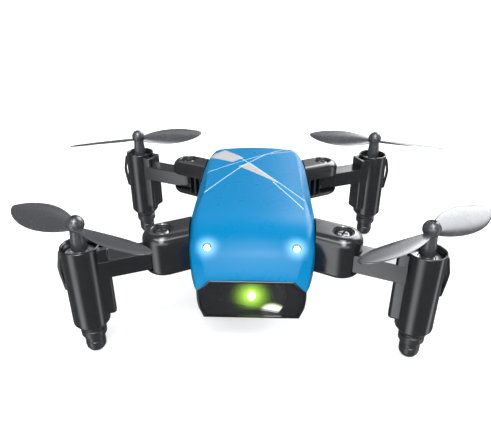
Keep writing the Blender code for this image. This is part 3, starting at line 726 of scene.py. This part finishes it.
def shoulder_solid():
    """Shoulder about its fold axis: round edges, fold slot, rib pockets and screw well."""
    body = slab(capsule(-11.0, 0.0, SHOULDER_R), SHOULDER_BOTTOM, SHOULDER_TOP, 1.6, 2.2, steps=8)
    moved(body, turn=-SHOULDER_TWIST)
    reach = 2.0 * SHOULDER_R
    slot = slab(round_box(-ARM_EYE_R - 0.3, reach, -ARM_HALF_WIDTH - 0.3, reach, 0.3),
                SLOT_BOTTOM, SLOT_TOP, 0.3, 0.3)
    pockets = [slab(round_box(x, x + 1.2, 1.4, reach, 0.25), SLOT_BOTTOM, SLOT_TOP, 0.2, 0.2)
               for x in (-8.4, -6.5, -4.6)]
    well = turned([(0.0, 27.6), (2.4, 27.6), (2.4, SHOULDER_TOP - 0.2, 0.15),
                   (2.65, SHOULDER_TOP + 0.05), (2.65, SHOULDER_TOP + 1.0),
                   (0.0, SHOULDER_TOP + 1.0)])
    return cut(body, slot, *pockets, well)


def make_shoulders():
    """Shoulders, trimmed just inside the canopy's wall. The left ones mirror the right ones."""
    low, high, inset = 10.0, 45.0, 0.15
    inside = body_outline(BODY_FRONT, BODY_REAR)(inset)
    for corner in CORNERS:
        solid = at_corner(shoulder_solid(), corner.replace("left", "right"))
        solid = cut(solid, loft([[(x, y, z) for x, y in inside] for z in (low, high)]))
        if CORNERS[corner][0] < 0:
            solid = flipped(solid, x=-1.0, y=1.0)
        piece("shoulder_" + corner, solid, MATERIALS["gunmetal_plastic"], "airframe",
              ["upper_frame"])
        cup = turned([(0.0, 27.62), (2.38, 27.62), (2.38, SHOULDER_TOP - 0.3, 0.1),
                      (2.2, SHOULDER_TOP - 0.3), (2.0, 27.9), (0.0, 27.9)])
        piece("screw_cup_" + corner, cup, MATERIALS["switch_black"], "airframe",
              place=pivot_place(corner))


def make_deck():
    low, high, narrowing = 18.6, 19.9, 0.86
    deck = slab(body_outline(BODY_FRONT + 4.2, BODY_REAR - 3.2), low, high)
    deck.transform(Matrix.Diagonal((narrowing, 1.0, 1.0, 1.0)))
    piece("deck_plate", deck, MATERIALS["gunmetal_plastic"], "airframe")


def tray_ring(inset, z):
    """Belly tray's outline at one height; its front end narrows to the nose window's sides."""
    front, rear = TRAY_FRONT + 0.5 * inset, TRAY_REAR - inset
    stations = 44
    right = []
    for i in range(stations):
        y = front + (rear - front) * 0.5 * (1.0 - math.cos(math.pi * i / (stations - 1)))
        window_side = 11.2 + 1.6 * min(1.0, (z - BELLY_Z) / (SEAM_Z - BELLY_Z)) - 0.3 * inset
        right.append((min(body_half_width(y) - inset, window_side + 0.45 * (y - front)), y))
    return [(x, y, z) for x, y in right] + [(-x, y, z) for x, y in reversed(right)]


def make_lower_frame():
    """Belly tray with rounded lower edges, vents, screw wells, switch slot and charging port."""
    levels = [(2.4, BELLY_Z), (1.95, BELLY_Z + 0.1), (1.55, BELLY_Z + 0.45), (1.4, BELLY_Z + 1.0),
              (0.6, SEAM_Z - 0.5), (0.85, SEAM_Z - 0.25)]
    tray = loft([tray_ring(inset, z) for inset, z in levels])
    neck = loft([tray_ring(1.9, z) for z in (BELLY_Z + 2.0, 18.3)])
    hollow = loft([tray_ring(3.0, z) for z in (BELLY_Z + 1.1, 19.0)])
    cuts = [slab(round_box(-7.0, 7.0, y, y + 1.3, 0.6), BELLY_Z - 1.0, BELLY_Z + 2.0)
            for y in (-12.0, -9.0, -6.0)]
    cuts.append(slab(round_box(-2.6, 2.6, 20.7, 22.9, 0.3), BELLY_Z - 1.0, BELLY_Z + 2.0))
    cuts.append(box(-4.2, 4.2, TRAY_REAR - 4.0, TRAY_REAR + 1.0, 12.2, 15.6))
    for x in (-SCREW_X, SCREW_X):
        for y in (-SCREW_Y, SCREW_Y):
            well = turned([(0.0, BELLY_Z - 1.0), (2.3, BELLY_Z - 1.0), (1.75, BELLY_Z + 0.35),
                           (1.75, BELLY_Z + 1.5), (0.0, BELLY_Z + 1.5)], 32)
            cuts.append(moved(well, x, y))
    boss = [moved(turned([(0.0, BELLY_Z + 0.6), (2.3, BELLY_Z + 0.6), (2.3, 18.2), (0.0, 18.2)], 32),
                  x, y) for x in (-SCREW_X, SCREW_X) for y in (-SCREW_Y, SCREW_Y)]
    solid = cut(joined(cut(joined(tray, neck), hollow), *boss), *cuts)
    piece("belly_tray", solid, MATERIALS["gunmetal_plastic"], "airframe", ["lower_frame"])


# ---- nose --------------------------------------------------------------------------------------
def visor_outline(inset):
    """Front view of the nose window, as (x, z): it fills the canopy's mouth and narrows below."""
    gap, corner_start, wall_start = inset + 0.38, 8, 24
    corner = canopy_section(BODY_FRONT, gap)[corner_start:wall_start]
    mouth = [(x, z) for x, z in reversed(corner) if z > SEAM_Z + 1.4]
    right = [(11.0 - inset, BELLY_Z + inset), (12.1 - inset, 13.4), (12.4 - inset, 15.6),
             (12.4 - inset, SEAM_Z + 0.75)] + mouth
    return right + [(-x, z) for x, z in reversed(right)]


def facing_front(bm, x, y, z):
    """Turn a solid made along +Z so that it points forward, and move it to its place."""
    bm.transform(Matrix.Translation((x, y, z)) @ Matrix.Rotation(math.radians(90.0), 4, "X"))
    return bm


def make_nose():
    """Window in its rim, and behind it the lamp in its plated bowl on a dark backing."""
    face, wall, edge = BODY_FRONT + 0.15, 0.6, 0.4
    back = TRAY_FRONT - 0.3
    rounds = [(face + edge * (1.0 - math.cos(math.radians(18.0 * i))),
               edge * (1.0 - math.sin(math.radians(18.0 * i)))) for i in range(6)]
    shell = loft([[(x, y, z) for x, z in visor_outline(inset)]
                  for y, inset in rounds + [(back, 0.0)]])
    pocket = loft([[(x, y, z) for x, z in visor_outline(wall)] for y in (face - 1.0, back + 1.0)])
    piece("nose_rim", cut(shell, pocket), MATERIALS["gunmetal_plastic"], "airframe")
    pane = loft([[(x, y, z) for x, z in visor_outline(wall + 0.02 + inset)]
                 for y, inset in ((face + 0.2, 0.15), (face + 0.35, 0.0), (face + 1.0, 0.0))])
    piece("nose_window", pane, MATERIALS["smoked_lens"], "airframe", ["nose_visor"])

    plate = loft([[(x, y, z) for x, z in visor_outline(0.95)] for y in (back - 0.1, back + 0.25)])
    piece("nose_backing", plate, MATERIALS["switch_black"], "airframe")
    bowl_z, bowl_r = 16.6, 8.0
    bowl = turned([(0.0, -0.9), (bowl_r, -0.9), (bowl_r, 1.35, 0.08), (bowl_r - 0.35, 1.35, 0.08),
                   (5.6, 0.62, 4.0), (2.0, 0.2, 3.0), (0.0, 0.1)], 64)
    facing_front(bowl, 0.0, back, bowl_z)
    trims = [box(-9.0, 9.0, back - 3.0, back + 2.0, 0.0, BELLY_Z + wall + 0.3),
             box(-9.0, 9.0, back - 3.0, back + 2.0, LIP_Z - 2.5, 40.0)]
    piece("lamp_bowl", cut(bowl, *trims), MATERIALS["reflector_silver"], "airframe",
          ["nose_reflector"])
    lamp = turned([(0.0, -0.4), (1.0, -0.4), (1.0, 0.55, 0.2), (0.75, 0.7), (0.75, 1.6, 0.7),
                   (0.0, 1.6)], 32)
    piece("nose_lamp", facing_front(lamp, 0.0, back, LAMP_Z), MATERIALS["green_led"], "airframe",
          ["nose_led"])


def make_headlights():
    for side, name in ((-1, "left"), (1, "right")):
        place = led_place(side)
        lens = moved(turned([(0.0, -2.4), (0.66, -2.4), (0.66, 0.45, 0.6), (0.0, 0.45)], 32),
                     0.0, -0.2)
        piece("headlight_" + name, lens, MATERIALS["white_led"], "airframe",
              ["headlight_led_" + name], place)
        sleeve = turned([(0.0, -2.6), (1.2, -2.6), (1.2, -1.0), (0.98, -1.0), (0.98, -0.1, 0.04),
                         (0.88, -0.1), (0.88, -2.4), (0.0, -2.4)], 32)
        piece("headlight_sleeve_" + name, sleeve, MATERIALS["switch_black"], "airframe",
              place=place)


# ---- arms, motors and propellers -----------------------------------------------------------------
def arm_solid():
    """Arm about its fold axis: eye, strut, motor pod, wire channel and guard clip."""
    eye = slab(disc(ARM_EYE_R), ARM_BOTTOM, ARM_TOP, 0.3, 0.3)
    strut = slab(round_box(-0.4, ARM_LENGTH, -ARM_HALF_WIDTH, ARM_HALF_WIDTH, 0.2), ARM_BOTTOM,
                 ARM_TOP, 0.3, 0.3)
    pod = turned([(0.0, POD_BOTTOM), (3.6, POD_BOTTOM, 0.15), (POD_R, POD_BOTTOM + 0.9, 0.3),
                  (POD_R, POD_RIM, 0.16), (0.0, POD_RIM)], 72)
    moved(pod, ARM_LENGTH)
    fin_face, half = ARM_LENGTH - FIN_REACH, ARM_HALF_WIDTH - 0.1
    fin = slab(round_box(fin_face, ARM_LENGTH, -half, half, 0.9), FIN_BOTTOM, FIN_TOP, 0.8, 0.2)

    inner_r, clip_half = POD_R - 0.3, 0.7
    clip_outline = [(inner_r, 27.7), (4.8, 27.3), (CLIP_REACH, 23.4), (CLIP_REACH - 0.1, 21.6),
                    (4.9, 17.4), (inner_r, 17.0)]
    clip = loft([[(r - 0.18 * (abs(y) > 0.6), y, z) for r, z in clip_outline]
                 for y in (-clip_half, -0.5, 0.5, clip_half)])
    window = loft([[(r, y, z) for r, z in ((POD_R + 0.12, 18.8), (4.62, 19.0), (4.9, 21.8),
                                           (4.95, 23.2), (4.6, 25.6), (POD_R + 0.12, 25.8))]
                   for y in (-1.5, 1.5)])
    for part in (clip, window):
        moved(part, ARM_LENGTH, 0.0, 0.0, ARM_SWEEP)

    bore = turned([(0.0, POD_FLOOR), (POD_BORE_R, POD_FLOOR), (POD_BORE_R, POD_RIM - 0.3, 0.2),
                   (POD_BORE_R + 0.22, POD_RIM), (POD_BORE_R + 0.3, POD_RIM + 1.0),
                   (0.0, POD_RIM + 1.0)], 72)
    foot_hole = turned([(0.0, POD_BOTTOM - 1.0), (1.5, POD_BOTTOM - 1.0), (1.5, POD_FLOOR + 1.0),
                        (0.0, POD_FLOOR + 1.0)], 32)
    wire_shaft = slab(round_box(fin_face + 0.9, ARM_LENGTH - 3.9, -1.3, 1.3, 0.4),
                      FIN_BOTTOM + 1.2, FIN_TOP + 1.0)
    wire_gate = box(fin_face + 1.2, ARM_LENGTH - 2.5, -0.9, 0.9, FIN_BOTTOM + 1.2,
                    FIN_BOTTOM + 3.4)
    underside = slab(round_box(3.7, fin_face + 1.2, -1.5, 1.5, 0.5), ARM_BOTTOM - 1.0,
                     ARM_BOTTOM + 2.4)
    arm = joined(eye, strut, pod, fin, clip)
    return cut(arm, window, moved(bore, ARM_LENGTH), moved(foot_hole, ARM_LENGTH), wire_shaft,
               wire_gate, underside)


def foot_solid():
    """Rubber foot: round tip, waist, collar and stem."""
    top = POD_BOTTOM - 0.05
    return turned([(0.0, 0.0), (FOOT_TIP_R, 0.0, 1.9), (FOOT_TIP_R, 3.1, 0.15),
                   (FOOT_TIP_R - 0.16, 3.3), (FOOT_TIP_R, 3.5, 0.1), (FOOT_TIP_R, 4.55, 0.15),
                   (FOOT_R - 0.05, 5.0, 0.3), (FOOT_R, 6.6), (FOOT_R - 0.3, 6.85),
                   (FOOT_R - 0.05, 7.1, 0.1), (FOOT_R - 0.05, top, 0.1), (1.2, top),
                   (1.2, POD_FLOOR - 0.4), (0.0, POD_FLOOR - 0.4)], 56)


def motor_solid():
    low, top = 12.4, MOTOR_TOP
    return turned([(0.0, low), (MOTOR_R, low, 0.15), (MOTOR_R, top, 0.35), (2.0, top, 0.1),
                   (1.8, top - 0.25), (1.55, top - 0.25), (1.45, top + 0.5, 0.15),
                   (0.6, top + 0.5), (0.6, top), (0.0, top)], 64)


def hub_solid():
    """Tapered skirt over the motor shaft, with a ball on top."""
    base_z = POD_RIM - 0.9
    ball = []
    for degrees in range(-38, 79, 6):
        angle = math.radians(degrees)
        ball.append((HUB_BALL_R * math.cos(angle), HUB_Z + HUB_BALL_R * math.sin(angle)))
    return turned([(0.0, base_z), (1.82, base_z, 0.15), (1.7, 30.2), (1.55, 31.6), (1.5, 32.3)]
                  + ball + [(0.0, HUB_Z + HUB_BALL_R)], 48)


def blade_solid(turn):
    """One twisted, cambered blade from inside the hub to its tip."""
    middle_z = HUB_Z - 1.0
    rings = []
    stations, around = 34, 28
    for i in range(stations):
        share = 0.05 + 0.945 * math.sin(0.5 * math.pi * i / (stations - 1))
        chord = PROP_CHORD * math.sin(math.pi * share ** 1.15) ** 0.55
        thick = 0.72 - 0.34 * share
        pitch = math.radians(24.0 - 10.0 * share)
        camber = 0.055 * chord
        section = []
        for k in range(around):
            angle = 2.0 * math.pi * k / around
            along = 0.5 * math.cos(angle)
            y = along * chord
            z = 0.5 * thick * math.sin(angle) + camber * (1.0 - 4.0 * along ** 2) - 0.5 * camber
            section.append((share * PROP_R, y * math.cos(pitch) - z * math.sin(pitch),
                            middle_z + y * math.sin(pitch) + z * math.cos(pitch)))
        rings.append(section)
    return moved(loft(rings), turn=turn)


def propeller_solid():
    prop = joined(hub_solid(), blade_solid(0.0), blade_solid(math.pi), merge=False)
    top = HUB_Z + HUB_BALL_R
    hole = turned([(0.0, top - 1.6), (0.62, top - 1.6), (0.62, top - 0.35), (0.85, top + 0.1),
                   (0.85, top + 1.0), (0.0, top + 1.0)], 24)
    return cut(prop, hole, merge=False)


def pivot_screw_solid():
    """Pan head with a crossed recess."""
    low, top = 27.75, 28.7
    head = turned([(0.0, low), (1.65, low), (1.65, top - 0.3, 0.2), (1.25, top, 0.4), (0.0, top)], 40)
    slots = [slab(round_box(-1.1, 1.1, -0.26, 0.26, 0.12), top - 0.6, top + 1.0),
             slab(round_box(-0.26, 0.26, -1.1, 1.1, 0.12), top - 0.6, top + 1.0)]
    return cut(head, *slots)


def make_corner(corner):
    """Arm, foot, motor, propeller and pivot screw of one corner."""
    blades = CORNERS[corner][2]
    arm_body, rotor_body = corner + "_arm", corner + "_rotor"
    place = pivot_place(corner)
    motor_place = place @ Matrix.Translation((ARM_LENGTH, 0.0, 0.0))
    turn = math.radians(blades) - heading(corner)
    rotor_place = motor_place @ Matrix.Rotation(turn, 4, "Z")

    def handed(bm):
        return bm if hand(corner) > 0 else flipped(bm)

    piece("arm_shell_" + corner, handed(arm_solid()), MATERIALS["gunmetal_plastic"], arm_body,
          ["arm_" + corner], place, sharp=28.0)
    piece("foot_plug_" + corner, foot_solid(), MATERIALS["foot_rubber"], arm_body,
          ["foot_" + corner], motor_place)
    piece("motor_" + corner, motor_solid(), MATERIALS["motor_steel"], arm_body,
          ["motor_can_" + corner], motor_place)
    piece("propeller_moulding_" + corner, handed(propeller_solid()), MATERIALS["blade_plastic"],
          rotor_body, ["propeller_" + corner], rotor_place, sharp=40.0)
    piece("pivot_screw_head_" + corner, handed(pivot_screw_solid()), MATERIALS["screw_steel"],
          "airframe", ["pivot_screw_" + corner], place)


# ---- the CAD nodes that stay ---------------------------------------------------------------------
def dress_kept_nodes():
    """Give each CAD node that still shows the material of its slot."""
    for part in frame["record"]["subparts"]:
        node = frame["nodes"][part["node"]]
        node.data.materials.clear()
        node.data.materials.append(MATERIALS[part["material_slot"]])


# ---- stage -------------------------------------------------------------------------------------
def make_floor():
    """Pale floor that glows a little, like a light table."""
    size = 4.0                        # half side (m)
    mesh = bpy.data.meshes.new("floor")
    mesh.from_pydata([(-size, -size, 0.0), (size, -size, 0.0), (size, size, 0.0), (-size, size, 0.0)],
                     [], [(0, 1, 2, 3)])
    nodes = Surface("floor_white")
    nodes.set(Base_Color=nodes.mix(nodes.noise(200.0), grey(0.52), grey(0.55)), Roughness=0.9,
              Emission_Color=grey(1.0), Emission_Strength=0.55)
    nodes.glow_only()
    mesh.materials.append(nodes.material)
    floor = bpy.data.objects.new("floor", mesh)
    bpy.context.scene.collection.objects.link(floor)
    floor.visible_glossy = False


# studio panels: azimuth, elevation, half width, half height, softness (degrees), brightness
PANELS = (
    (0.0, 128.0, 10.0, 36.0, 6.0, 9.0),
    (40.0, 36.0, 22.0, 17.0, 6.0, 7.5),
    (32.0, 9.0, 25.0, 17.0, 8.0, 1.7),
    (17.0, 29.0, 7.0, 7.0, 3.0, 1.5),
    (-8.0, 44.0, 24.0, 10.0, 6.0, 0.8),
    (180.0, 6.0, 30.0, 12.0, 5.0, 2.0),
    (-143.0, 54.0, 14.0, 9.0, 4.0, 5.0),
    (147.0, 54.0, 14.0, 9.0, 4.0, 3.5),
    (-141.0, -15.0, 13.0, 45.0, 12.0, 2.2),
    (98.0, -10.0, 7.0, 40.0, 7.0, 1.8),
)


def light_patch(graph, azimuth, elevation, half_width, half_height, soft, strength):
    """Brightness of a soft-edged panel in the studio's surroundings. All but strength in degrees;
    azimuth 0 is behind the drone and 90 on its right, elevation past 90 is over its front."""
    turn, lift = math.radians(azimuth), math.radians(elevation)
    middle = (math.sin(turn) * math.cos(lift), math.cos(turn) * math.cos(lift), math.sin(lift))
    right = (math.cos(turn), -math.sin(turn), 0.0)
    over = (-math.sin(turn) * math.sin(lift), -math.cos(turn) * math.sin(lift), math.cos(lift))
    ahead, aside, up = (graph.vector("DOT_PRODUCT", graph.place, way)
                        for way in (middle, right, over))
    share = strength
    for angle, half in ((graph.math("ARCTAN2", aside, ahead), half_width),
                        (graph.math("ARCSINE", up), half_height)):
        off = graph.math("ABSOLUTE", angle)
        inside = graph.spread(off, math.radians(half - soft), math.radians(half + soft), 1.0, 0.0,
                              smooth=True)
        share = graph.math("MULTIPLY", inside, share)
    return share


def make_lights():
    """Soft white surroundings with a few brighter panels, and a soft sun."""
    world = bpy.data.worlds.new("studio")
    world.use_nodes = True
    graph = Graph(world.node_tree, "Generated")
    height = graph.vector("DOT_PRODUCT", graph.place, (0.0, 0.0, 1.0))
    total = graph.spread(height, -0.1, 0.1, 0.2, 0.26, smooth=True)
    for panel in PANELS:
        total = graph.math("ADD", total, light_patch(graph, *panel))
    background = graph.tree.nodes["Background"]
    background.inputs["Color"].default_value = (0.96, 0.98, 1.0, 1.0)
    seen = graph.add("ShaderNodeLightPath").outputs["Is Camera Ray"]
    graph.feed(background.inputs["Strength"], graph.math("MAXIMUM", total, seen))
    bpy.context.scene.world = world

    data = bpy.data.lights.new("sun", "SUN")
    data.energy = 0.6
    data.angle = math.radians(12.0)
    sun = bpy.data.objects.new("sun", data)
    sun.rotation_euler = (math.radians(30.0), 0.0, math.radians(3.0))
    bpy.context.scene.collection.objects.link(sun)


def make_camera():
    """Camera at the photographed angle: in front, 28 degrees above level."""
    yaw, pitch, roll = math.radians(-1.899), math.radians(27.607), math.radians(-0.115)
    place = Vector((1.756, -121.867, 83.221)) + CENTRE
    forward = Vector((math.sin(yaw) * math.cos(pitch), math.cos(yaw) * math.cos(pitch),
                      -math.sin(pitch)))
    right = Vector((math.cos(yaw), -math.sin(yaw), 0.0))
    up = right.cross(forward)
    right, up = (math.cos(roll) * right + math.sin(roll) * up,
                 math.cos(roll) * up - math.sin(roll) * right)
    data = bpy.data.cameras.new("camera")
    data.sensor_width = 36.0
    data.lens = 36.37
    data.clip_start = 0.005
    camera = bpy.data.objects.new("camera", data)
    turn = Matrix((right, up, -forward)).transposed().to_4x4()
    camera.matrix_world = Matrix.Translation(place * MM) @ turn
    bpy.context.scene.collection.objects.link(camera)
    bpy.context.scene.camera = camera
    bpy.context.scene.view_settings.view_transform = "Standard"


dress_kept_nodes()
make_canopy()
make_shoulders()
make_deck()
make_lower_frame()
make_nose()
make_headlights()
for name in CORNERS:
    make_corner(name)
make_floor()
make_lights()
make_camera()

bpy.context.view_layer.update()
